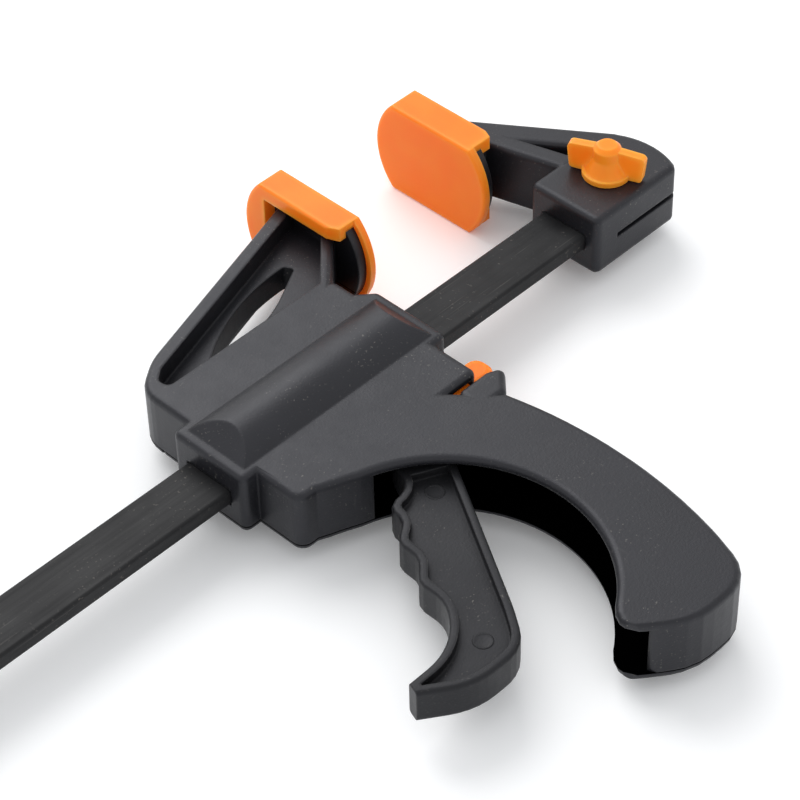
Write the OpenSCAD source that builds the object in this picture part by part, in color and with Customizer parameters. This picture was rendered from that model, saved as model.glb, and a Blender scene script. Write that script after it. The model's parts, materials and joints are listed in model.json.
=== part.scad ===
// Quick release bar clamp: a one-handed clamp with a squeeze lever, lying on its side.
// Frame: +X runs along the bar from its free end towards the fixed jaw, +Y points at the jaw tips,
// and +Z is the clamp's thickness. The origin is on the bar's centre line, in the plane of the
// fixed pad's clamping face. The moving jaw is drawn in its own frame, whose origin is jaw_datum
// in front of the moving pad's face, and jaw_place() sets it at its opening.

/* [Bar] */
// Height of the flat bar, across the clamp
bar_w = 19; // [16:0.5:22]
// Thickness of the flat bar
bar_t = 6; // [5:0.1:7]
// Radius of the bar's long edges
bar_edge = 1; // [0.4:0.1:1.4]
// Length of bar behind the fixed pad's face, to the free end
bar_reach = 722; // [400:1:900]
// Distance of the stop pin from the bar's free end
stop_inset = 6; // [5:0.5:15]
// Radius of the stop pin
stop_r = 2.5; // [1.5:0.1:3]

/* [Opening] */
// Gap between the two pads as drawn
jaw_open = 49.4; // [20:0.1:200]

/* [Pads] */
// Height of the fixed pad's centre above the bar's centre line
throat = 56; // [52:0.5:60]
// How much higher the moving pad's centre sits
pad_lift = 3; // [0:0.1:4]
// Radius of a pad's round face
pad_r = 26; // [25:0.1:30]
// Width of a pad between its two flats
pad_w = 36.5; // [34:0.5:42]
// Depth of the fixed pad, from its face to its rear lip
pad_depth = 13; // [11:0.5:15]
// Depth of the moving pad
moving_depth = 11.5; // [11:0.5:15]
// Thickness of a pad's front wall
pad_face = 3; // [2.5:0.1:5.5]
// Thickness of a pad's round rim
pad_rim = 2; // [1.5:0.1:4]
// Radius of a pad's outer edges
pad_edge = 1; // [0.4:0.1:1.5]
// Width of the rear lip at the flats
pad_lip = 5.2; // [4:0.1:6.5]
// Thickness of the moulded plate that a pad slips over
plate_t = 3.6; // [3:0.1:5]

/* [Mouldings] */
// Thickness of both jaws
body_t = 24; // [22:0.5:27]
// Radius of the mouldings' long edges
edge = 2; // [1:0.1:2.2]
// Thickness of the housing's large walls
skin = 2.6; // [2:0.1:3]
// Thickness of the cover on the underside
cover_t = 2.5; // [2:0.1:3]
// Half height of the collar round the bar
collar = 16; // [14.5:0.1:17]
// Height of the cover's upper edge above the bar's centre line
cover_top = 29.5; // [27:0.5:31]
// Radius of the spring barrel that bulges from both sides
barrel_r = 17.5; // [16.5:0.1:19]
// Thickness of the jaw arm's web
arm_web = 9.6; // [6:0.2:12]
// Width of the jaw arm's outer rib
arm_rib = 5.3; // [3:0.1:6]

/* [Handle] */
// Radius of the hollow of the grip
grip_r = 50.5; // [48:0.1:52]
// Thickness of the handle's outer wall
handle_wall = 3; // [2.4:0.1:4]

/* [Lever] */
// Thickness of the squeeze lever
lever_t = 12.5; // [10:0.1:14]
// Width of the lever's raised rim
lever_rim = 2.8; // [2:0.1:3.4]
// Depth of the recess in each side of the lever
lever_recess = 3; // [1.5:0.1:4]
// Radius of the lever's pivot pin
pivot_r = 2.5; // [2:0.1:3]

/* [Drive] */
// Number of drive plates
plates = 3; // [2:1:3]
// Thickness of one drive plate
drive_t = 2; // [1.5:0.1:2.2]
// Outer radius of the drive spring
spring_r = 13.5; // [12:0.1:14]
// Wire diameter of the drive spring
spring_wire = 1.8; // [1.2:0.1:2.2]
// Turns of the drive spring
spring_turns = 8; // [5:1:10]

/* [Release] */
// Thickness of the brake plate
brake_t = 3; // [2:0.1:3.5]
// Lean of the brake plate when it grips the bar, in degrees
brake_lean = 4; // [2:0.5:5]
// Width of the release button
button_w = 14; // [10:0.5:16]
// Height of the release button
button_h = 10; // [8:0.5:11]
// How far the button stands out of the housing
button_out = 9; // [6:0.5:10]

/* [Wing screw] */
// Distance of the wing screw behind the fixed pad's face
wing_x = 29; // [27:0.5:31]
// Radius of the screw's shank
screw_r = 3; // [2.5:0.1:3.5]
// Span of the wings
wing_span = 28; // [24:0.5:30]
// Direction of the wings, in degrees from +X
wing_turn = 111.5; // [0:0.5:180]
// Height of the wing knob above the jaw
knob_h = 12.3; // [11:0.1:15]

/* [Fits] */
// Gap between faces that slide or swing past each other
slip = 0.3; // [0.25:0.05:0.5]
// Radial clearance of a turning pin in its bore
running = 0.05; // [0.03:0.01:0.1]
// Gap between seated pieces of one body
seat = 0.1; // [0.05:0.05:0.2]

/* [Hidden] */
$fn = 48;

black = [0.13, 0.13, 0.14];
lever_black = [0.17, 0.17, 0.18];
orange = [0.98, 0.5, 0.18];
steel = [0.62, 0.63, 0.65];
dark_steel = [0.2, 0.2, 0.21];

half = body_t / 2;            // half of the jaws' thickness
split = cover_t - half;       // height of the joint between housing and cover
roof = half - skin;           // underside of the housing's upper wall
edge_steps = 3;               // flats across a rounded long edge
corner_steps = 5;             // flats round a corner seen from above
past = 1;                     // how far a cutting shape runs past a face
grip_c = [-96.5, -89];        // centre of the grip's hollow
pivot = [-52.5, -31];         // the lever's pivot
plate_r = pad_r - pad_rim;    // radius of the plate behind a pad
plate_w = pad_w - 2 * (pad_rim + 0.3);
plate_x = -pad_face - plate_t;
jaw_datum = 0.9;              // from the moving pad's face back to the moving jaw's own origin
arm_end = plate_x - jaw_datum;

// ---------- shapes ----------

function unit(v) = v / norm(v);
function polar(a, r) = r * [cos(a), sin(a)];
function flat(lists) = [for (l = lists) for (p = l) p];
function arc(c, r, a0, a1, n) = [for (i = [0:n]) c + polar(a0 + (a1 - a0) * i / n, r)];
function wrap(a) = a > 180 ? a - 360 : (a < -180 ? a + 360 : a);

// Points round one corner p of radius r, between its neighbours a and b.
function corner(a, p, b, r, n) =
    let (u = unit(a - p), v = unit(b - p), h = acos(max(-1, min(1, u * v))) / 2)
    r <= 0 || h > 89.5 ? [p] :
    let (c = p + unit(u + v) * r / sin(h),
         s = p + u * r / tan(h) - c,
         e = p + v * r / tan(h) - c,
         a0 = atan2(s[1], s[0]),
         turn = wrap(atan2(e[1], e[0]) - a0))
    [for (i = [0:n]) c + polar(a0 + turn * i / n, r)];

// A closed outline from corners [x, y, radius].
function outline(q, n = corner_steps) =
    let (m = len(q), p = [for (c = q) [c[0], c[1]]])
    flat([for (i = [0:m - 1]) corner(p[(i + m - 1) % m], p[i], p[(i + 1) % m], q[i][2], n)]);

// An open line from corners [x, y, radius]; its two ends stay where they are.
function trail(q, n = corner_steps) =
    let (m = len(q), p = [for (c = q) [c[0], c[1]]])
    flat([for (i = [0:m - 1])
        i == 0 || i == m - 1 ? [p[i]] : corner(p[i - 1], p[i], p[i + 1], q[i][2], n)]);

// A closed counterclockwise outline moved inwards by d.
function inset(p, d) =
    let (m = len(p))
    [for (i = [0:m - 1])
        let (e = unit(p[i] - p[(i + m - 1) % m]), f = unit(p[(i + 1) % m] - p[i]),
             s = [e[1], -e[0]], t = [f[1], -f[0]])
        p[i] - (s + t) * d / (1 + s * t)];

// Running length along a line, and the line cut into n equal steps.
function lengths(p, i = 0, s = 0) =
    i >= len(p) - 1 ? [s] : concat([s], lengths(p, i + 1, s + norm(p[i + 1] - p[i])));
function even(p, n) =
    let (s = lengths(p), l = s[len(s) - 1],
         xs = [for (i = [0:len(p) - 1]) [s[i], p[i][0]]],
         ys = [for (i = [0:len(p) - 1]) [s[i], p[i][1]]])
    [for (i = [0:n]) [lookup(l * i / n, xs), lookup(l * i / n, ys)]];

// A solid through rings of points. The rings run counterclockwise seen from the last one.
module skin_rings(rings) {
    n = len(rings[0]);
    m = len(rings);
    sides = [for (i = [0:m - 2]) for (j = [0:n - 1]) let (k = (j + 1) % n)
        each [[i * n + j, (i + 1) * n + j, (i + 1) * n + k], [i * n + j, (i + 1) * n + k, i * n + k]]];
    polyhedron(flat(rings), concat([[for (j = [0:n - 1]) j]], sides,
        [[for (j = [n - 1:-1:0]) (m - 1) * n + j]]));
}

// Rounded steps of an edge: [how far in, how far along].
function edge_walk(e) = e <= 0 ? [[0, 0]] :
    [for (i = [0:edge_steps]) let (a = 90 * i / edge_steps) [e * (1 - sin(a)), e * (1 - cos(a))]];

// A slab of a convex outline from z0 to z1, with rounded lower and upper edges.
module slab(q, z0, z1, e0 = 0, e1 = 0) {
    p = outline(q);
    low = edge_walk(e0);
    high = edge_walk(e1);
    rings = concat(
        [for (w = low) [for (v = inset(p, w[0])) [v[0], v[1], z0 + w[1]]]],
        [for (i = [len(high) - 1:-1:0]) let (w = high[i])
            [for (v = inset(p, w[0])) [v[0], v[1], z1 - w[1]]]]);
    skin_rings(rings);
}

// One upright section from a to b, seen from above, with rounded lower and upper corners.
function quarter(cx, cz, e, a0) = e <= 0 ? [[cx, cz]] :
    [for (i = [0:edge_steps]) [cx, cz] + polar(a0 + 90 * i / edge_steps, e)];
function section(a, b, z0, z1, e0, e1) =
    let (w = norm(b - a), u = unit(b - a),
         ring = concat(quarter(e0, z0 + e0, e0, 180), quarter(w - e0, z0 + e0, e0, 270),
                       quarter(w - e1, z1 - e1, e1, 0), quarter(e1, z1 - e1, e1, 90)))
    [for (s = ring) [a[0] + u[0] * s[0], a[1] + u[1] * s[0], s[1]]];

// Shapes drawn in a vertical plane: along_y extrudes an XZ drawing, along_x a YZ drawing.
module along_y(y0, y1) translate([0, y1, 0]) rotate([90, 0, 0]) linear_extrude(y1 - y0) children();
module along_x(x0, x1)
    translate([x0, 0, 0]) rotate([90, 0, 90]) linear_extrude(x1 - x0) children();
module plan(z0, z1) translate([0, 0, z0]) linear_extrude(z1 - z0) children();
module box(a, b) translate(a) cube(b - a);

// A rectangle with true round corners.
module round_rect(w, h, r) {
    square([w - 2 * r, h], center = true);
    square([w, h - 2 * r], center = true);
    for (x = [-1, 1], y = [-1, 1])
        translate([x * (w / 2 - r), y * (h / 2 - r)]) circle(r);
}

// The passage for the bar through a moulding, with a gap g all round.
module bar_way(x0, x1, g) along_x(x0, x1) square([bar_w + 2 * g, bar_t + 2 * g], center = true);

module jaw_place() translate([jaw_datum - jaw_open, 0, 0]) children();

// A coil spring along X, from x0 to x1, as one tube.
module coil(x0, x1, r, wire, turns, sides = 6, per_turn = 14) {
    n = turns * per_turn;
    rings = [for (i = [0:n])
        let (a = 360 * i / per_turn, x = x0 + wire / 2 + (x1 - x0 - wire) * i / n, c = r - wire / 2)
        [for (j = [0:sides - 1]) let (b = 360 * j / sides, q = c + wire / 2 * cos(b))
            [x + wire / 2 * sin(b), q * cos(a), q * sin(a)]]];
    skin_rings(rings);
}

// ---------- bar ----------

bar_end = 45;                 // where the bar ends inside the fixed jaw
stop_x = stop_inset - bar_reach;
stop_len = 14;

module bar() {
    color(dark_steel) difference() {
        along_x(-bar_reach, bar_end) round_rect(bar_w, bar_t, bar_edge);
        translate([wing_x, 0, -bar_t]) cylinder(r = screw_r + slip, h = 2 * bar_t);
        translate([stop_x, 0, -bar_t]) cylinder(r = stop_r, h = 2 * bar_t);
    }
}

module bar_stop_pin() {
    color(steel) translate([stop_x, 0, -stop_len / 2]) cylinder(r = stop_r, h = stop_len);
}

// ---------- pads ----------

pad_drop = 18.5;               // lower ends of a pad's side walls, below its centre
pad_notch = [2, 4.5];         // bevel at the lower rear corner of a side wall
lip_top = 16;                 // height of the rear opening above the pad's centre
moving_y = throat + pad_lift; // height of the moving pad's centre

// A pad of depth d, with its face in the plane x = 0 and its centre at height y.
module pad(y, d) {
    foot = y - pad_drop;
    color(orange) difference() {
        intersection() {
            translate([0, y, 0]) rotate([0, -90, 0]) rotate_extrude($fn = 96) polygon(concat(
                [[0, 0]],
                arc([pad_r - pad_edge, pad_edge], pad_edge, -90, 0, 6),
                arc([pad_r - pad_edge, d - pad_edge], pad_edge, 0, 90, 6),
                [[0, d]]));
            along_y(0, 2 * y) translate([-d / 2, 0]) round_rect(d, pad_w, pad_edge);
        }
        // the slot for the plate
        intersection() {
            translate([-pad_face, y, 0]) rotate([0, -90, 0])
                cylinder(r = plate_r + seat, h = plate_t + seat, $fn = 96);
            box([-d, 0, -plate_w / 2 - seat], [0, 2 * y, plate_w / 2 + seat]);
        }
        // the rear opening inside the lip
        plan(-pad_w / 2 + pad_lip, pad_w / 2 - pad_lip) polygon([
            [-d - past, 0], [plate_x, 0], [plate_x, y + lip_top],
            [-d - past, y + lip_top]]);
        // the open lower end
        plan(-pad_w, pad_w) polygon([
            [-pad_face, 0], [-pad_face, foot], [pad_notch[0] - d, foot],
            [-d, foot + pad_notch[1]],
            [-d - past, foot + pad_notch[1]], [-d - past, 0]]);
    }
}

// The plate behind a pad, part of each jaw.
module pad_plate(y) {
    intersection() {
        translate([-pad_face, y, 0]) rotate([0, -90, 0]) cylinder(r = plate_r, h = plate_t, $fn = 96);
        box([-pad_depth, 0, -plate_w / 2], [0, 2 * y, plate_w / 2]);
    }
}

module fixed_pad() mirror([1, 0, 0]) pad(throat, pad_depth);
module moving_pad() translate([-jaw_open, 0, 0]) pad(moving_y, moving_depth);

// ---------- fixed jaw ----------

block_front = 7.5;            // front face of the block that holds the bar
block_low = -15;              // its lower side
block_high = 15.4;            // its upper side
jaw_web = 5;                  // thickness of the fixed jaw's web
slit_w = 2;                   // height of the clamping slit
slit_x = 18;                  // where the slit starts
nut_af = 10;                  // across flats of the nut
nut_t = 5;                    // thickness of the nut
block_turn = [24.8, -1.3];    // centre of the block's round outer end
block_round = 27.2;           // its radius
block_ends = [-26, 30];       // directions where the round end starts and stops

module fixed_jaw() {
    c = edge + 0.2;
    back = pad_face + plate_t - 0.5;
    round_end = arc(block_turn, block_round, block_ends[0], block_ends[1], 9);
    color(black) difference() {
        union() {
            slab(concat([[block_front, block_low, 2.5], [47.6, block_low, 2.5]],
                        [for (v = round_end) [v[0], v[1], 0]],
                        [[44.5, block_high, c], [block_front, block_high, c]]),
                 -half, half, edge, edge);
            // outer flange
            slab([[41.8, 5, c], [50.9, 9, 4], [12, 65.3, c], [back, 62, c], [back, 57, c]],
                 -half, half, edge, edge);
            // inner rib
            slab([[21.4, 12, c], [30, 12, c], [19.5, 48, c], [11.4, 48, c]], -half, half, edge, edge);
            slab([[back, 44, c], [14, 41, c], [18.5, 46, c], [11, 52.5, c], [back, 52.5, c]],
                 -half, half, edge, edge);
            // web
            plan(-jaw_web / 2, jaw_web / 2) polygon([[24, 12], [40, 12], [44, 14], [13, 60],
                [back, 60], [back, 46], [15, 44]]);
            mirror([1, 0, 0]) pad_plate(throat);
        }
        bar_way(0, bar_end + seat, seat);
        // clamping slit below the bar
        box([slit_x, block_low - past, -slit_w / 2], [60, -bar_w / 2, slit_w / 2]);
        translate([wing_x, 0, -half - past]) cylinder(r = screw_r + slip, h = body_t + 2 * past);
        translate([wing_x, 0, -half - past])
            cylinder(r = (nut_af / 2 + seat) / cos(30), h = nut_t + past, $fn = 6);
    }
}

module jaw_nut() {
    color(steel) translate([wing_x, 0, -half]) difference() {
        cylinder(r = nut_af / 2 / cos(30), h = nut_t, $fn = 6);
        translate([0, 0, -past]) cylinder(r = screw_r + running, h = nut_t + 2 * past);
    }
}

knob_base = half + slip;      // underside of the knob
knob_r = 8.5;                 // radius of the knob's flange
flange_t = 2;                 // thickness of the knob's flange
hub_r = 4.8;                  // radius of the knob's hub
wing_t = 3.2;                 // thickness of the wings

module wing_knob() {
    top = knob_base + knob_h;
    s = wing_span / 2;
    color(orange) translate([wing_x, 0, 0]) rotate([0, 0, wing_turn]) difference() {
        union() {
            translate([0, 0, knob_base]) cylinder(r = knob_r, h = flange_t);
            translate([0, 0, knob_base + flange_t]) cylinder(r1 = knob_r - 1, r2 = hub_r, h = 5);
            translate([0, 0, knob_base]) cylinder(r = hub_r, h = knob_h - 1.5);
            translate([0, 0, top - 1.5]) cylinder(r1 = hub_r, r2 = hub_r - 1.5, h = 1.5);
            along_y(-wing_t / 2, wing_t / 2) polygon(outline([
                [-s + 1, knob_base + 0.3, 1.5], [0, knob_base + 0.2, 0], [s - 1, knob_base + 0.3, 1.5],
                [s, top - 1.9, 1.8], [hub_r, top - 1.3, 0], [-hub_r, top - 1.3, 0],
                [-s, top - 1.9, 1.8]]));
        }
        translate([0, 0, knob_base - past]) cylinder(r = screw_r, h = 8 + past);
    }
}

module wing_screw() {
    color(steel) translate([wing_x, 0, -half + 1]) cylinder(r = screw_r, h = knob_base + 8 + half - 1);
}

// ---------- moving jaw: outer form ----------

rear = -103;                  // rear face of the housing
rear_collar = -109;           // rear face of the collar
front_collar = -18.5;         // front face of the collar
front = -24.3;                // front face below the collar
block_foot = -34.8;           // lower edge of the block behind the lever
block_top = 30;               // where the block meets the jaw arm

// The handle's outer side, from the release lug down to its end.
outer_line = concat(arc([-187.5, -88.6], 167, 15, -17, 12),
    trail([[-28, -137.5, 0], [-33, -153.6, 14], [-58, -153.6, 22], [-73.4, -141, 0]], 10));
outer_polar = [for (i = [len(outer_line) - 1:-1:0]) let (v = outer_line[i] - grip_c)
    [atan2(v[1], v[0]), norm(v)]];
grip_polar = [[-66, grip_r + 6.5], [-64, grip_r + 2.6], [-61, grip_r + 0.7], [-57, grip_r],
    [74, grip_r], [80, grip_r + 0.9], [87, grip_r + 2.6], [94, grip_r + 5.5]];
handle_in = 80;               // reach of the handle's root inside the block
root_turn = 31;               // the direction where the handle leaves the block
function out_at(a) = a > root_turn ? min(handle_in, lookup(root_turn, outer_polar)) : lookup(a, outer_polar);
handle_turns = concat([for (a = [94:-4:-14]) a], [for (a = [-17:-2.5:-59.5]) a]);
end_turns = [-61, -62.5, -64, -65];
tip_cut = -62.8;              // the direction where the hollow opens through the handle's end

module handle(z0, z1, e0, e1) {
    skin_rings([for (a = concat(handle_turns, end_turns))
        section(grip_c + polar(a, lookup(a, grip_polar)), grip_c + polar(a, out_at(a)), z0, z1, e0, e1)]);
}

// The block, collars, lug and handle between z0 and z1.
module housing_form(z0, z1, e0, e1) {
    c = 2.4;
    slab([[rear, block_foot, 4], [front, block_foot, c], [front, block_top, c], [rear, block_top, c]],
         z0, z1, e0, e1);
    slab([[rear_collar, -collar, c], [-80, -collar, c], [-80, collar, c], [rear_collar, collar, c]],
         z0, z1, e0, e1);
    slab([[-50, -collar, c], [front_collar, -collar, c], [front_collar, collar - 1, c],
          [front - 0.5, collar + 4.5, c], [-50, collar + 4.5, c]], z0, z1, e0, e1);
    slab([[-36, -47.6, c], [-24.6, -47.6, c], [-16.4, -39.4, c], [-22.5, -36.8, c], [-36, -36.8, c]],
         z0, z1, e0, e1);
    handle(z0, z1, e0, e1);
}

// The round barrel over the drive spring, with a ramp at each end.
barrel_rear = -105.5;
barrel_front = -22;
ramp_rear = 8;
ramp_front = 6.5;
module barrel(z0, z1) {
    side = min(barrel_r, collar - 0.2);
    intersection() {
        translate([barrel_rear, 0, 0]) rotate([0, 90, 0])
            cylinder(r = barrel_r, h = barrel_front - barrel_rear, $fn = 96);
        along_y(-barrel_r, barrel_r) polygon([
            [barrel_rear, -half], [barrel_rear + ramp_rear, -barrel_r],
            [barrel_front - ramp_front, -barrel_r], [barrel_front, -half],
            [barrel_front, half], [barrel_front - ramp_front, barrel_r],
            [barrel_rear + ramp_rear, barrel_r], [barrel_rear, half]]);
        box([barrel_rear - past, -side, z0], [barrel_front + past, side, z1]);
    }
}

// ---------- moving jaw: jaw arm ----------

arm_tip = 71.2;               // where the arm's outer edge meets the pad's plate
arm_bend = [-91, 45.4];       // where its outer edge turns down towards the housing
arm_line = [[rear, 20, 2.4], [-35, 20, 2.4], [arm_end, 46.5, 2.4], [arm_end, arm_tip, 2.4],
            concat(arm_bend, 28), [rear, 37, 12]];
pocket_floor = 31.5;          // lower edge of the arm's pockets
module arm_pocket() {
    slope = (arm_tip - arm_bend[1]) / (arm_end - arm_bend[0]);
    drop = arm_rib / cos(atan(slope));
    top = function (x) arm_bend[1] + slope * (x - arm_bend[0]) - drop;
    polygon(outline([[-96, pocket_floor, 2.4], [-28.5, pocket_floor, 1.5],
                     [arm_end, pocket_floor + arm_end + 28.5, 0], [arm_end, top(arm_end), 0],
                     [-92, top(-92), 4], [-96.5, 36, 2.5]]));
}

// The leaf-shaped window through the web: one long arc above, a flatter curve below.
module arm_window() {
    polygon(concat(arc([-26.3, -27.7], 80, 92, 128, 18),
        trail([[-75.5, 34.2, 0], [-58, 34.5, 60], [-42, 39.2, 60], [-23.9, 49, 1.2],
               [-25.6, 52.2, 1.4], [-28, 52.3, 0]], 8)));
}

// ---------- moving jaw: hollows ----------

drive_face = pivot[0] - 4.9;  // front face of the drive plates at rest
drive_len = plates * drive_t + (plates - 1) * seat;
drive_travel = 7.7;
drive_low = -19.5;
drive_high = 14;
drive_half = roof - slip;     // half the plates' width across the clamp
spring_end = rear_collar + 9; // the wall that the drive spring leans on
barrel_bore = barrel_r - skin;
brake_pivot = [-33.5, 13.5];
brake_front = -27.2;          // inner face of the front wall
brake_back = -43;             // rear end of the brake's bay
button_mid = -30.5;           // height of the button's centre
bay_left = -78.5;             // the wall beside the lever
lever_bay = concat(
    [[bay_left, -50], [bay_left, -36], [-69, drive_low], [drive_face - past, drive_low],
     [drive_face - past, -11.5], [-49.5, -11.5], [-49.5, -20], [brake_back + 0.5, -22.5],
     [-37.5, -30]],
    [for (a = [40:-5:-60]) grip_c + polar(a, (a > root_turn ? handle_in - 1 : lookup(a, outer_polar))
        - handle_wall)],
    [grip_c + polar(tip_cut, lookup(tip_cut, outer_polar) - handle_wall),
     grip_c + polar(tip_cut, handle_in), grip_c + polar(tip_cut - 12, handle_in)],
    [for (a = [-75:10:45]) grip_c + polar(a, grip_r - 6)]);

module hollows(low) {
    plan(low, roof) polygon(lever_bay);
    // drive plates and their travel
    box([drive_face - drive_len - drive_travel - 1, drive_low - slip, low],
        [drive_face + slip, drive_high + slip, roof]);
    // drive spring
    intersection() {
        translate([spring_end, 0, 0]) rotate([0, 90, 0])
            cylinder(r = barrel_bore, h = drive_face + slip - spring_end, $fn = 96);
        box([spring_end - past, -barrel_r, min(low, -barrel_r)],
            [drive_face + past, barrel_r, barrel_r]);
    }
    // brake plate, its spring and the button
    box([brake_back, button_mid - button_h / 2 - 1, low], [brake_front, brake_pivot[1] + 1, roof]);
    box([brake_front - past, button_mid - button_h / 2 - 0.8, -button_w / 2 - slip],
        [front + past, button_mid + button_h / 2 + 0.8, button_w / 2 + slip]);
    bar_way(rear_collar - past, front_collar + past, slip);
}

// Screws that hold the cover, as [x, y].
screws = [[-96, 22], [-31, 22], [-96, -27], [-27.6, -68], [-31.8, -126], [-55, -146.6]];
screw_boss = 3.6;
screw_shank = 1.5;
screw_head = 3;
head_sink = 1.4;
screw_tip = 2;
pin_boss = 5.5;               // radius of the bosses beside the lever
pin_blind = 1.5;              // how deep the pivot pin sits in each wall
boss_face = lever_t / 2 + slip;

module bosses(z0, z1) {
    for (s = screws) if (s[1] < -50) translate([s[0], s[1], z0]) cylinder(r = screw_boss, h = z1 - z0);
}

module main_housing() {
    jaw_place() color(black) difference() {
        union() {
            difference() {
                union() {
                    housing_form(split, half, 0, edge);
                    slab(arm_line, -half, half, edge, edge);
                    barrel(split, barrel_r);
                    translate([-jaw_datum, 0, 0]) pad_plate(moving_y);
                }
                hollows(split - past);
                // the cover's seat
                box([rear - 10, -200, -half - past], [front + 10, cover_top, split]);
            }
            bosses(split, roof + 0.1);
            translate([pivot[0], pivot[1], boss_face]) cylinder(r = pin_boss, h = roof - boss_face + 0.1);
        }
        for (s = [0, 1]) mirror([0, 0, s]) plan(arm_web / 2, half + past) arm_pocket();
        plan(-half, half) arm_window();
        translate([pivot[0], pivot[1], 0]) cylinder(r = pivot_r, h = roof + pin_blind);
        for (s = screws) translate([s[0], s[1], split - past])
            cylinder(r = screw_shank, h = screw_tip - split + past);
    }
}

module housing_cover() {
    jaw_place() color(black) difference() {
        union() {
            difference() {
                union() {
                    difference() {
                        housing_form(-half, split, edge, 0);
                        box([rear - 10, cover_top, -half - past], [front + 10, 80, split + past]);
                    }
                    barrel(-barrel_r, split);
                }
                intersection() {
                    translate([spring_end, 0, 0]) rotate([0, 90, 0])
                        cylinder(r = barrel_bore, h = drive_face + slip - spring_end, $fn = 96);
                    box([spring_end - past, -barrel_r, -barrel_r], [drive_face + past, barrel_r, 0]);
                }
            }
            translate([pivot[0], pivot[1], split - 0.1]) cylinder(r = pin_boss, h = -boss_face - split + 0.1);
        }
        translate([pivot[0], pivot[1], split - pin_blind]) cylinder(r = pivot_r, h = half);
        for (s = screws) translate([s[0], s[1], -half - past]) {
            cylinder(r = screw_shank, h = body_t / 2);
            cylinder(r = screw_head, h = head_sink + past);
        }
    }
}

module cover_screws() {
    jaw_place() color(steel) for (s = screws) translate([s[0], s[1], -half]) difference() {
        union() {
            translate([0, 0, 0.2]) cylinder(r = screw_head, h = head_sink - 0.2);
            cylinder(r = screw_shank, h = screw_tip + half);
        }
        translate([0, 0, -past]) cylinder(r = screw_shank + 0.2, h = past + 0.2);
        for (a = [0, 90]) rotate([0, 0, a]) box([-1.8, -0.35, -past], [1.8, 0.35, 0.9]);
    }
}

// ---------- lever ----------

// The finger side and the palm side, from the pivot down to the tip.
finger_line = trail([[-59.5, -29, 0], [-67, -38.7, 8], [-72.6, -50.5, 8], [-82.6, -51.6, 4.5],
    [-83.3, -59.2, 6], [-91.2, -64.2, 5], [-91.4, -73.5, 7], [-98.8, -80.2, 5], [-98.6, -91, 14],
    [-109.5, -105.3, 24], [-129, -105.5, 0]], 8);
palm_line = trail([[-44.5, -32, 0], [-47.8, -43, 8], [-86.6, -107.5, 10], [-95.5, -120.2, 14],
    [-116, -120.2, 26], [-130.5, -110, 0]], 8);
lever_stations = 44;
recess_start = 7;             // the station where the lever's recess starts
nose = pivot + [-2, 16.5];
nose_r = 2.5;
eye_r = 7.5;

module trigger_lever() {
    f = even(finger_line, lever_stations);
    p = even(palm_line, lever_stations);
    h = lever_t / 2;
    rim = inset(concat([for (i = [recess_start:lever_stations]) f[i]],
                       [for (i = [lever_stations:-1:recess_start]) p[i]]), lever_rim);
    jaw_place() color(lever_black) difference() {
        union() {
            skin_rings([for (i = [0:lever_stations]) section(f[i], p[i], -h, h, 1.2, 1.2)]);
            translate([pivot[0], pivot[1], -h]) cylinder(r = eye_r, h = lever_t);
            plan(-h, h) polygon([pivot + [-eye_r / 2, 0], pivot + [eye_r - 1, 0], nose + [nose_r, 0], nose,
                                 nose - [nose_r, 0]]);
            translate([nose[0], nose[1], -h]) cylinder(r = nose_r, h = lever_t);
        }
        for (s = [0, 1]) mirror([0, 0, s]) plan(h - lever_recess, h + past) polygon(rim);
        translate([pivot[0], pivot[1], -half]) cylinder(r = pivot_r + running, h = body_t);
    }
}

module lever_pin() {
    jaw_place() color(steel) translate([pivot[0], pivot[1], split - pin_blind])
        cylinder(r = pivot_r, h = roof - split + 2 * pin_blind);
}

// ---------- drive ----------

module drive_plates() {
    jaw_place() color(steel) for (i = [0:plates - 1])
        translate([drive_face - drive_t - i * (drive_t + seat), 0, 0]) difference() {
            box([0, drive_low, -drive_half], [drive_t, drive_high, drive_half]);
            bar_way(-past, drive_t + past, slip);
        }
}

washer_t = 1;
washer_x = drive_face - drive_len - washer_t;
module spring_washer() {
    jaw_place() color(steel) difference() {
        translate([washer_x, 0, 0]) rotate([0, 90, 0]) cylinder(r = spring_r, h = washer_t);
        bar_way(washer_x - past, washer_x + washer_t + past, slip);
    }
}

module drive_spring() {
    jaw_place() color(steel) coil(spring_end + seat, washer_x - seat, spring_r, spring_wire, spring_turns);
}

// ---------- release ----------

brake_low = button_mid + button_h / 2 - 3;
brake_half = roof - slip;
button_edge = 2;              // radius of the button's long edges

// Leans the brake plate and its button about the pivot at the plate's upper end.
module lean() {
    translate(concat(brake_pivot, 0)) rotate([0, 0, brake_lean]) translate(-concat(brake_pivot, 0))
        children();
}

module brake_plate() {
    x0 = brake_pivot[0] - brake_t / 2;
    jaw_place() color(steel) lean() difference() {
        union() {
            box([x0, -22, -brake_half], [x0 + brake_t, brake_pivot[1] + 0.5, brake_half]);
            box([x0, brake_low, -button_w / 4], [x0 + brake_t, -21, button_w / 4]);
        }
        bar_way(x0 - past, x0 + brake_t + past, 0.7);
    }
}

module release_button() {
    x0 = brake_pivot[0] - brake_t / 2 - 1.5;
    low = button_mid - button_h / 2;
    jaw_place() color(orange) difference() {
        slab([[x0 + 2, low, button_edge + 0.2], [front + button_out, low, 4],
              [front + button_out, low + button_h, 4], [x0 + 2, low + button_h, button_edge + 0.2]],
             -button_w / 2, button_w / 2, button_edge, button_edge);
        lean() box([brake_pivot[0] - brake_t / 2 - seat, brake_low - seat, -button_w / 4 - seat],
            [brake_pivot[0] + brake_t / 2 + seat, 0, button_w / 4 + seat]);
    }
}

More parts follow.
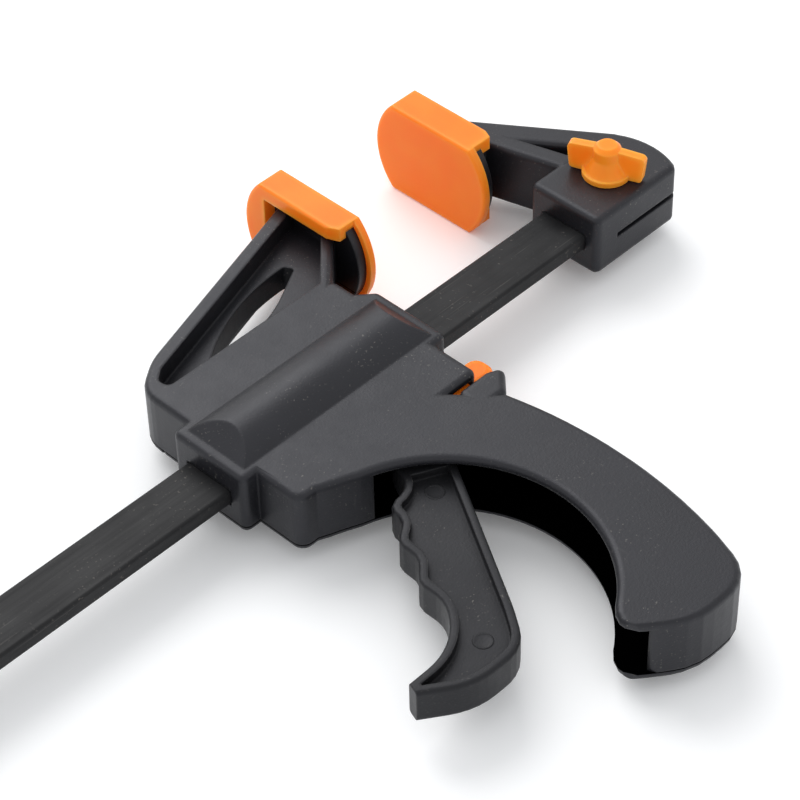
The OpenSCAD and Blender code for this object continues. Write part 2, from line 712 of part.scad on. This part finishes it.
brake_spring_y = -17;
module brake_spring() {
    jaw_place() color(steel) translate([0, brake_spring_y, 0])
        coil(brake_back + seat, brake_pivot[0] - brake_t / 2 + 1.6, 3.2, 0.8, 4, 6, 12);
}

bar();
bar_stop_pin();
fixed_jaw();
fixed_pad();
jaw_nut();
wing_knob();
wing_screw();
main_housing();
housing_cover();
cover_screws();
moving_pad();
trigger_lever();
lever_pin();
drive_plates();
spring_washer();
drive_spring();
brake_plate();
release_button();
brake_spring();
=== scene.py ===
"""Quick release bar clamp, lying on a pale floor: camera, light, finishes and a few added details.

Every length is in metres, in the frame of the CAD model: +X along the bar, +Y towards the jaw tips,
+Z up from the floor.
"""
import json
import math

import bpy
from mathutils import Matrix, Vector


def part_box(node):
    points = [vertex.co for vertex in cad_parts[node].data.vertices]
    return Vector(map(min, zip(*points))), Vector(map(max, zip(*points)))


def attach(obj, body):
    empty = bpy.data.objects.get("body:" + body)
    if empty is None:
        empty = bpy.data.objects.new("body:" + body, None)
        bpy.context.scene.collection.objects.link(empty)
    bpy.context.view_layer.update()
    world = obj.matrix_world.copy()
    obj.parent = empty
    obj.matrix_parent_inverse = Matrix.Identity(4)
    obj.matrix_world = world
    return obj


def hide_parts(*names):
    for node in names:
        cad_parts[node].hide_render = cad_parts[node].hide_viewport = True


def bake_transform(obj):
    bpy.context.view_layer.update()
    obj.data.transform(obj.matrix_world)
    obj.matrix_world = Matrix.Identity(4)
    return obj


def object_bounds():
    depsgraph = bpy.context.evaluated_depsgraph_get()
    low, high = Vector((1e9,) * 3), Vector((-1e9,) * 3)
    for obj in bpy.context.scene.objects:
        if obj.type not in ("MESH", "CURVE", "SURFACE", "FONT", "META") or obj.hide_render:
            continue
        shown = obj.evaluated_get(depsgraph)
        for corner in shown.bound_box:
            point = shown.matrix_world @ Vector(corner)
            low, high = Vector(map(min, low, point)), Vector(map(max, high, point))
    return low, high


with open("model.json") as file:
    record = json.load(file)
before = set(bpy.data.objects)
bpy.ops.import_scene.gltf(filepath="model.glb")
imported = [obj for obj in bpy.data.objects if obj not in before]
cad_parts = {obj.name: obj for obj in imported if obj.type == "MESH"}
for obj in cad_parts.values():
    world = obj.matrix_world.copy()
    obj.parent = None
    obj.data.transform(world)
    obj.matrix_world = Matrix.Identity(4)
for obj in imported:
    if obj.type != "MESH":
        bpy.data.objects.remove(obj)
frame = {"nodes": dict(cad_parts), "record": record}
cad_low, cad_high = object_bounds()
scene = bpy.context.scene
scene.view_settings.view_transform = "Standard"

MM = 0.001
JAW_X = -0.0485                     # origin of the moving jaw
SEAM = -0.0095                      # height of the joint between the housing and its cover
JOINTED = ("main_housing", "housing_cover")     # they show it as a dark line


# ---------- camera ----------

# Solved from straight edges and circles in the photo.
CAMERA_AT = (-0.55742, -0.48758, 0.63182)
CAMERA_RIGHT = (0.69570, -0.71805, -0.02009)
CAMERA_UP = (0.50578, 0.46979, 0.72353)
CAMERA_FORWARD = (0.51009, 0.51352, -0.69000)
LENS_MM, SENSOR_MM = 129.06, 36.0
NEAREST, FARTHEST = 0.05, 50.0


def make_camera():
    data = bpy.data.cameras.new("camera")
    data.lens = LENS_MM
    data.sensor_width = SENSOR_MM
    data.clip_start, data.clip_end = NEAREST, FARTHEST
    cam = bpy.data.objects.new("camera", data)
    scene.collection.objects.link(cam)
    rows = [(r, u, -f, c) for r, u, f, c in zip(CAMERA_RIGHT, CAMERA_UP, CAMERA_FORWARD, CAMERA_AT)]
    cam.matrix_world = Matrix(rows + [(0, 0, 0, 1)])
    scene.camera = cam


# ---------- shader helpers ----------

RAYS = 6                            # samples of the edge and openness nodes
BAND_CORE = 0.6                     # share of a band's half width in which it is full
MIX_FACTOR, MIX_A, MIX_B, MIX_RESULT = 0, 6, 7, 2      # sockets of the Mix node when it mixes colours


class Shader:
    """A material's node tree with short ways to add and join nodes."""

    def __init__(self, name):
        self.material = bpy.data.materials.new(name)
        self.material.use_nodes = True
        self.tree = self.material.node_tree
        self.tree.nodes.clear()
        self.out = self.add("ShaderNodeOutputMaterial")

    def add(self, kind, **values):
        node = self.tree.nodes.new(kind)
        for key, value in values.items():
            setattr(node, key, value)
        return node

    def join(self, source, target):
        self.tree.links.new(source, target)

    def feed(self, slot, value):
        """Give a socket a number, a colour, or another node's output."""
        if isinstance(value, tuple):
            slot.default_value = (*value, 1.0)
        elif isinstance(value, (int, float)):
            slot.default_value = value
        else:
            self.join(value, slot)

    def math(self, operation, a, b=0.0, clamp=False):
        node = self.add("ShaderNodeMath", operation=operation, use_clamp=clamp)
        self.feed(node.inputs[0], a)
        self.feed(node.inputs[1], b)
        return node.outputs[0]

    def ramp(self, value, low, high, to_low=0.0, to_high=1.0):
        """A smooth step from to_low, where value is at low, to to_high, where it is at high."""
        node = self.add("ShaderNodeMapRange", interpolation_type="SMOOTHSTEP")
        self.join(value, node.inputs["Value"])
        numbers = {"From Min": low, "From Max": high, "To Min": to_low, "To Max": to_high}
        for key, number in numbers.items():
            node.inputs[key].default_value = number
        return node.outputs["Result"]

    def mix(self, factor, a, b):
        node = self.add("ShaderNodeMix", data_type="RGBA")
        self.join(factor, node.inputs[MIX_FACTOR])
        self.feed(node.inputs[MIX_A], a)
        self.feed(node.inputs[MIX_B], b)
        return node.outputs[MIX_RESULT]

    def where(self, scale=(1.0, 1.0, 1.0)):
        """Object coordinates. Marks come out longest along the axis with the smallest scale."""
        coords = self.add("ShaderNodeTexCoord")
        node = self.add("ShaderNodeMapping")
        node.inputs["Scale"].default_value = scale
        self.join(coords.outputs["Object"], node.inputs["Vector"])
        return node.outputs["Vector"]

    def noise(self, place, scale, detail=2.0, rough=0.5):
        node = self.add("ShaderNodeTexNoise")
        self.join(place, node.inputs["Vector"])
        node.inputs["Scale"].default_value = scale
        node.inputs["Detail"].default_value = detail
        node.inputs["Roughness"].default_value = rough
        return node.outputs["Fac"]

    def edges(self, radius):
        """A rounded normal, and how much of an edge each point is."""
        bevel = self.add("ShaderNodeBevel", samples=RAYS)
        bevel.inputs["Radius"].default_value = radius
        geometry = self.add("ShaderNodeNewGeometry")
        dot = self.add("ShaderNodeVectorMath", operation="DOT_PRODUCT")
        self.join(bevel.outputs["Normal"], dot.inputs[0])
        self.join(geometry.outputs["Normal"], dot.inputs[1])
        return bevel.outputs["Normal"], self.math("SUBTRACT", 1.0, dot.outputs["Value"], clamp=True)

    def openness(self, reach, low, high):
        """Near 1 on outer edges and open faces, less in inner corners and pockets."""
        node = self.add("ShaderNodeAmbientOcclusion", samples=RAYS)
        node.inputs["Distance"].default_value = reach
        return self.ramp(node.outputs["AO"], low, high)

    def band(self, place, height, half_width):
        """1 at a height, 0 from half_width away from it."""
        parts = self.add("ShaderNodeSeparateXYZ")
        self.join(place, parts.inputs[0])
        away = self.math("ABSOLUTE", self.math("SUBTRACT", parts.outputs["Z"], height))
        return self.ramp(away, half_width, BAND_CORE * half_width)

    def bump(self, height, depth, normal):
        node = self.add("ShaderNodeBump")
        node.inputs["Distance"].default_value = depth
        self.join(height, node.inputs["Height"])
        self.join(normal, node.inputs["Normal"])
        return node.outputs["Normal"]

    def surface(self, colour, rough, normal, shine=0.5, **sockets):
        """The finished material. A socket's name has underscores in place of its spaces."""
        node = self.add("ShaderNodeBsdfPrincipled")
        self.feed(node.inputs["Base Color"], colour)
        self.feed(node.inputs["Roughness"], rough)
        self.feed(node.inputs["Specular IOR Level"], shine)
        self.join(normal, node.inputs["Normal"])
        for key, value in sockets.items():
            node.inputs[key.replace("_", " ")].default_value = value
        self.join(node.outputs[0], self.out.inputs["Surface"])
        return self.material


# ---------- finishes ----------

# The second colour of each is that of scratches and paler edges: wear, and at the edges partly a painted
# highlight.
BLACK_NYLON = {"colour": (0.0100, 0.0102, 0.0125), "worn_and_highlight": (0.042, 0.042, 0.043),
               "rough": 0.40, "gloss": 0.37, "edge_radius": 0.0012}
LEVER_NYLON = {"colour": (0.0110, 0.0111, 0.0123), "worn_and_highlight": (0.052, 0.052, 0.053),
               "rough": 0.42, "gloss": 0.26, "edge_radius": 0.0011}
NYLON_PALER = 1.3                   # how much lighter its pale patches are
NYLON_SCRATCHES = ((26.0, 640.0, 26.0), (520.0, 40.0, 40.0))
NYLON_SCRATCHED = 0.35              # how far a scratch goes towards the paler edge colour
NYLON_HANDLED_ROUGH = 0.05          # how much rougher it is where it has scratches
NYLON_DUST = (0.18, 0.17, 0.15)
NYLON_TINT = (0.93, 0.935, 1.0, 1.0)        # its reflections are a little cool
POCKET_SHADE_GLOSS = 0.4                  # share of the gloss that is left deep in a pocket, where the rest is taken away as painted shade
SEAM_COLOUR = (0.0005, 0.0005, 0.0005)
SEAM_HALF_WIDTH = 0.28 * MM

# Painted light: each orange's third colour is that of thin edges, lit through.
ORANGE = {"deep": (1.0, 0.195, 0.007), "pale": (1.0, 0.235, 0.012), "rim": (1.0, 0.42, 0.05)}
# A paler copy of the orange for the knob: painted light coming through its thin wing.
THROUGH_LIT_KNOB_ORANGE = {"deep": (1.0, 0.26, 0.012), "pale": (1.0, 0.31, 0.020), "rim": (1.0, 0.46, 0.06)}
# Painted light at the very edges of the orange, yellower as if lit through.
ORANGE_PAINTED_EDGE_LIGHT = (1.0, 0.46, 0.10)
ORANGE_ROUGH, ORANGE_SHINE = 0.36, 0.24

STEEL_DARK, STEEL_PALE = (0.011, 0.011, 0.012), (0.020, 0.020, 0.021)
STEEL_EDGE = (0.085, 0.078, 0.070)
STEEL_SCUFF, STEEL_SCUFFED = (0.16, 0.15, 0.14), 0.18      # colour, and how far a scuff goes towards it
STEEL_DUST = (0.11, 0.10, 0.09)
STEEL_SHINE = 0.17

ZINC = (0.55, 0.56, 0.58)


def nylon(name, colour, worn_and_highlight, rough, gloss, edge_radius, seam=None):
    """Glass-filled moulding: grain, scratches, paler edges, dust, and a dark line at a seam.

    The paler edges are partly rubbed wear and partly a painted highlight; the gloss is dimmed in pockets
    and inner corners as painted shade.
    """
    s = Shader(name)
    place = s.where()
    normal, edge = s.edges(edge_radius)
    edge = s.math("MULTIPLY", edge, s.openness(reach=0.004, low=0.70, high=0.95))
    cloud = s.noise(place, scale=38.0, detail=3.0)
    grain = s.noise(place, scale=1300.0, detail=2.0, rough=0.6)
    specks = s.ramp(s.noise(place, scale=1050.0, detail=1.0), low=0.66, high=0.76)
    patches = s.noise(place, scale=60.0, detail=2.0)
    dusty = s.ramp(patches, low=0.45, high=0.75, to_low=0.05, to_high=0.55)
    dusty = s.math("ADD", dusty, edge, clamp=True)
    handled = s.ramp(s.noise(place, scale=120.0, detail=5.0, rough=0.7), low=0.35, high=0.70)

    base = s.mix(s.ramp(cloud, low=0.3, high=0.7), colour, tuple(NYLON_PALER * c for c in colour))
    for scale in NYLON_SCRATCHES:
        scratch = s.ramp(s.noise(s.where(scale), scale=1.0, detail=2.0), low=0.70, high=0.76)
        faint = s.math("MULTIPLY", s.math("MULTIPLY", scratch, handled), NYLON_SCRATCHED)
        base = s.mix(faint, base, worn_and_highlight)
    # Paler edges: partly rubbed wear, partly a painted highlight.
    base = s.mix(s.ramp(edge, low=0.02, high=0.35, to_high=0.75), base, worn_and_highlight)
    base = s.mix(s.math("MULTIPLY", specks, dusty), base, NYLON_DUST)

    # Painted shade: the gloss is dimmed in pockets and inner corners.
    shine = s.openness(reach=0.016, low=0.15, high=0.85)
    shine = s.math("MULTIPLY", shine, (1.0 - POCKET_SHADE_GLOSS) * gloss)
    shine = s.math("ADD", shine, POCKET_SHADE_GLOSS * gloss)
    if seam is not None:
        line = s.band(place, seam, SEAM_HALF_WIDTH)
        base = s.mix(line, base, SEAM_COLOUR)
        shine = s.math("MULTIPLY", shine, s.math("SUBTRACT", 1.0, line))
    roughness = s.ramp(cloud, low=0.3, high=0.7, to_low=rough - 0.05, to_high=rough + 0.02)
    roughness = s.math("ADD", roughness, s.math("MULTIPLY", handled, NYLON_HANDLED_ROUGH))
    return s.surface(base, roughness, s.bump(grain, depth=0.00006, normal=normal), shine,
                     Specular_Tint=NYLON_TINT)


def orange(name, deep, pale, rim):
    """Soft orange plastic, yellower at thin edges: painted light that stands for light coming through
    them.

    Its weak glow is painted light too, standing in for that light.
    """
    s = Shader(name)
    place = s.where()
    normal, edge = s.edges(radius=0.0009)
    _, thin = s.edges(radius=0.0045)
    cloud = s.noise(place, scale=45.0, detail=2.0)
    base = s.mix(s.ramp(cloud, low=0.3, high=0.7), deep, pale)
    # Painted light: thin edges, then the very edges, go yellower as if lit through.
    base = s.mix(s.ramp(thin, low=0.0, high=0.25, to_high=0.65), base, rim)
    base = s.mix(s.ramp(edge, low=0.02, high=0.4, to_high=0.5), base, ORANGE_PAINTED_EDGE_LIGHT)
    wave = s.noise(place, scale=420.0, detail=2.0)
    # Painted light: the weak emission below is a glow that stands in for light coming through.
    return s.surface(base, ORANGE_ROUGH, s.bump(wave, depth=0.00003, normal=normal), ORANGE_SHINE,
                     Subsurface_Weight=0.45, Subsurface_Scale=1.0,
                     Subsurface_Radius=(0.0080, 0.0024, 0.0008),
                     Emission_Color=(1.0, 0.17, 0.004, 1.0), Emission_Strength=0.10)


def black_steel():
    """Black oxide on flat bar: rolled surface, rubbed long edges, dust, and fine scuffs along the bar."""
    s = Shader("black_steel")
    place = s.where()
    normal, edge = s.edges(radius=0.0008)
    rolled = s.noise(s.where((6.0, 160.0, 160.0)), scale=3.0, detail=4.0, rough=0.6)
    blotch = s.noise(place, scale=55.0, detail=4.0)
    scuff = s.noise(s.where((25.0, 900.0, 900.0)), scale=1.2, detail=2.0)
    scuff = s.ramp(scuff, low=0.66, high=0.76)
    dust = s.ramp(s.noise(place, scale=900.0, detail=2.0), low=0.64, high=0.74)
    dusty = s.ramp(blotch, low=0.45, high=0.65, to_low=0.1, to_high=0.7)
    base = s.mix(s.ramp(blotch, low=0.35, high=0.7), STEEL_DARK, STEEL_PALE)
    base = s.mix(s.ramp(edge, low=0.02, high=0.3, to_high=0.6), base, STEEL_EDGE)
    base = s.mix(s.math("MULTIPLY", scuff, STEEL_SCUFFED), base, STEEL_SCUFF)
    base = s.mix(s.math("MULTIPLY", dust, dusty), base, STEEL_DUST)
    roughness = s.ramp(rolled, low=0.3, high=0.7, to_low=0.40, to_high=0.54)
    return s.surface(base, roughness, s.bump(rolled, depth=0.00006, normal=normal), STEEL_SHINE)


def bright_steel():
    """Zinc plating with a fine, even grain."""
    s = Shader("bright_steel")
    normal, _ = s.edges(radius=0.0003)
    grain = s.noise(s.where((40.0, 40.0, 40.0)), scale=30.0, detail=3.0)
    roughness = s.ramp(grain, low=0.3, high=0.7, to_low=0.22, to_high=0.40)
    return s.surface(ZINC, roughness, s.bump(grain, depth=0.00002, normal=normal), Metallic=1.0)


def give_finishes():
    """Give every CAD node the finish of its slot, or its own kind of that finish."""
    finishes = {
        "black_nylon": nylon("black_nylon", **BLACK_NYLON),
        "lever_nylon": nylon("lever_nylon", **LEVER_NYLON),
        "orange_plastic": orange("orange_plastic", **ORANGE),
        "black_steel": black_steel(),
        "bright_steel": bright_steel(),
    }
    # The knob gets its paler copy: painted light coming through the thin wing.
    own = {"wing_knob": orange("orange_knob_painted_light", **THROUGH_LIT_KNOB_ORANGE)}
    own.update(dict.fromkeys(JOINTED, nylon("black_nylon_jointed", **BLACK_NYLON, seam=SEAM)))
    slot_of = {part["node"]: part["material_slot"] for part in frame["record"]["subparts"]}
    for name, node in frame["nodes"].items():
        for slot in node.material_slots:
            slot.material = own.get(name, finishes[slot_of[name]])
    return finishes


# ---------- added pieces ----------

# Half the section of an ejector mark, as radius and height in mm, and where the two marks are.
EJECTOR_MARK = [(3.3, -0.3), (3.3, 0.0), (3.2, 0.10), (3.15, 0.12), (2.85, 0.12), (2.8, 0.10),
                (2.7, 0.03), (2.6, 0.02), (0.0, 0.02)]
EJECTOR_MARKS_AT = ((-0.0663, -0.0561), (-0.1009, -0.1084))     # from the moving jaw's origin
LEVER_RECESS = 0.00325              # height of the recess's floor in the lever's upper side

# Node, wire, turns, and the body that its front end pushes on.
SPRINGS = (("drive_spring", 1.8 * MM, 8, "drive"), ("brake_spring", 0.8 * MM, 4, "release"))


def new_object(name, verts, faces, flat):
    """An object that is shaded smooth, apart from its last flat faces."""
    mesh = bpy.data.meshes.new(name)
    mesh.from_pydata(verts, [], faces)
    mesh.update()
    for face in mesh.polygons[:-flat]:
        face.use_smooth = True
    made = bpy.data.objects.new(name, mesh)
    scene.collection.objects.link(made)
    return made


def lathe(name, profile, centre, steps=64):
    """A turned relief from (radius, height) pairs, closed at its middle and underneath, on centre."""
    verts, faces = [], []
    for r, h in profile[:-1]:
        for i in range(steps):
            turn = 2 * math.pi * i / steps
            verts.append((centre[0] + r * math.cos(turn), centre[1] + r * math.sin(turn), centre[2] + h))
    top = len(verts)
    verts.append((centre[0], centre[1], centre[2] + profile[-1][1]))
    for k in range(len(profile) - 2):
        for i in range(steps):
            j = (i + 1) % steps
            faces.append((k * steps + i, k * steps + j, (k + 1) * steps + j, (k + 1) * steps + i))
    last = (len(profile) - 2) * steps
    faces += [(last + i, last + (i + 1) % steps, top) for i in range(steps)]
    faces.append(tuple(range(steps - 1, -1, -1)))
    return new_object(name, verts, faces, flat=1)


def add_details(finishes):
    """Two round ejector marks in the lever's recess."""
    profile = [(r * MM, h * MM) for r, h in EJECTOR_MARK]
    for i, (x, y) in enumerate(EJECTOR_MARKS_AT):
        mark = lathe(f"lever_ejector_mark_{i + 1}", profile, (JAW_X + x, y, LEVER_RECESS))
        mark.data.materials.append(finishes["lever_nylon"])
        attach(mark, "lever")


def coil(name, node, wire, turns, per_turn=40, sides=12):
    """A closed coil of round wire along X that fills the box of a CAD spring."""
    low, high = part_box(node)
    y, z = (low.y + high.y) / 2, (low.z + high.z) / 2
    radius = (high.y - low.y - wire) / 2
    first, last = low.x + wire / 2, high.x - wire / 2
    rings = turns * per_turn + 1
    verts = []
    for i in range(rings):
        turn = 2 * math.pi * i / per_turn
        x = first + (last - first) * i / (rings - 1)
        for j in range(sides):
            around = 2 * math.pi * j / sides
            out = radius + wire / 2 * math.cos(around)
            side = wire / 2 * math.sin(around)
            verts.append((x + side, y + out * math.cos(turn), z + out * math.sin(turn)))
    faces = []
    for i in range(rings - 1):
        for j in range(sides):
            k = (j + 1) % sides
            faces.append((i * sides + j, (i + 1) * sides + j, (i + 1) * sides + k, i * sides + k))
    faces.append(tuple(range(sides)))
    faces.append(tuple(reversed(range((rings - 1) * sides, rings * sides))))
    return new_object(name, verts, faces, flat=2)


def add_springs(finishes):
    """Coils of round wire in the place of the CAD springs, which are hidden."""
    for node, wire, turns, pushes in SPRINGS:
        spring = coil(f"{node}_coil", node, wire, turns)
        spring.data.materials.append(finishes["bright_steel"])
        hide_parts(node)
        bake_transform(spring)


# ---------- floor and light ----------

WHITE = (1.0, 1.0, 1.0)
FLOOR_REACH = 12.0
FLOOR_GAP = 0.0001                  # the floor is this far under the clamp's lowest point
FLOOR_GREY = (0.72, 0.72, 0.72)     # the floor as it lights the clamp
FLOOR_LIFT = 0.08                   # light that it adds for the camera, so that it shows white
ROOM_COLOUR, ROOM_STRENGTH = (0.965, 0.98, 1.0), 0.87


def background_rays(tree):
    """1 for rays that show the background: from the camera, off gloss and through glass."""
    rays = tree.nodes.new("ShaderNodeLightPath")
    total = rays.outputs["Is Camera Ray"]
    for key in ("Is Glossy Ray", "Is Transmission Ray"):
        node = tree.nodes.new("ShaderNodeMath")
        node.operation, node.use_clamp = "ADD", True
        tree.links.new(total, node.inputs[0])
        tree.links.new(rays.outputs[key], node.inputs[1])
        total = node.outputs[0]
    return total


def make_floor():
    """A wide pale floor that shows white to the camera and keeps the clamp's shadow."""
    height = cad_low.z - FLOOR_GAP
    corners = ((-1, -1), (1, -1), (1, 1), (-1, 1))
    floor = new_object("floor", [(FLOOR_REACH * x, FLOOR_REACH * y, height) for x, y in corners],
                       [(0, 1, 2, 3)], flat=1)
    s = Shader("floor")
    shown = background_rays(s.tree)
    diffuse = s.add("ShaderNodeBsdfDiffuse")
    s.join(s.mix(shown, FLOOR_GREY, WHITE), diffuse.inputs["Color"])
    lift = s.add("ShaderNodeEmission")
    s.join(s.math("MULTIPLY", shown, FLOOR_LIFT), lift.inputs["Strength"])
    both = s.add("ShaderNodeAddShader")
    s.join(diffuse.outputs[0], both.inputs[0])
    s.join(lift.outputs[0], both.inputs[1])
    s.join(both.outputs[0], s.out.inputs["Surface"])
    floor.data.materials.append(s.material)


def make_world():
    """Even, slightly cool light from all round, and white where the background shows."""
    world = bpy.data.worlds.new("studio")
    scene.world = world
    world.use_nodes = True
    tree = world.node_tree
    tree.nodes.clear()
    out = tree.nodes.new("ShaderNodeOutputWorld")
    mix = tree.nodes.new("ShaderNodeMixShader")
    tree.links.new(background_rays(tree), mix.inputs[0])
    for i, (colour, strength) in enumerate(((ROOM_COLOUR, ROOM_STRENGTH), (WHITE, 1.0))):
        back = tree.nodes.new("ShaderNodeBackground")
        back.inputs["Color"].default_value = (*colour, 1.0)
        back.inputs["Strength"].default_value = strength
        tree.links.new(back.outputs[0], mix.inputs[1 + i])
    tree.links.new(mix.outputs[0], out.inputs["Surface"])


def make_lamp(name, at, target, size, power):
    """A round area lamp that points at target."""
    data = bpy.data.lights.new(name, "AREA")
    data.shape = "DISK"
    data.size = size
    data.energy = power
    lamp = bpy.data.objects.new(name, data)
    scene.collection.objects.link(lamp)
    lamp.location = at
    lamp.rotation_euler = (Vector(target) - Vector(at)).to_track_quat("-Z", "Y").to_euler()


make_camera()
make_world()
make_lamp("key", at=(0.30, 1.20, 1.35), target=(-0.12, -0.02, 0.0), size=1.5, power=17.0)
finishes = give_finishes()
add_details(finishes)
add_springs(finishes)
make_floor()
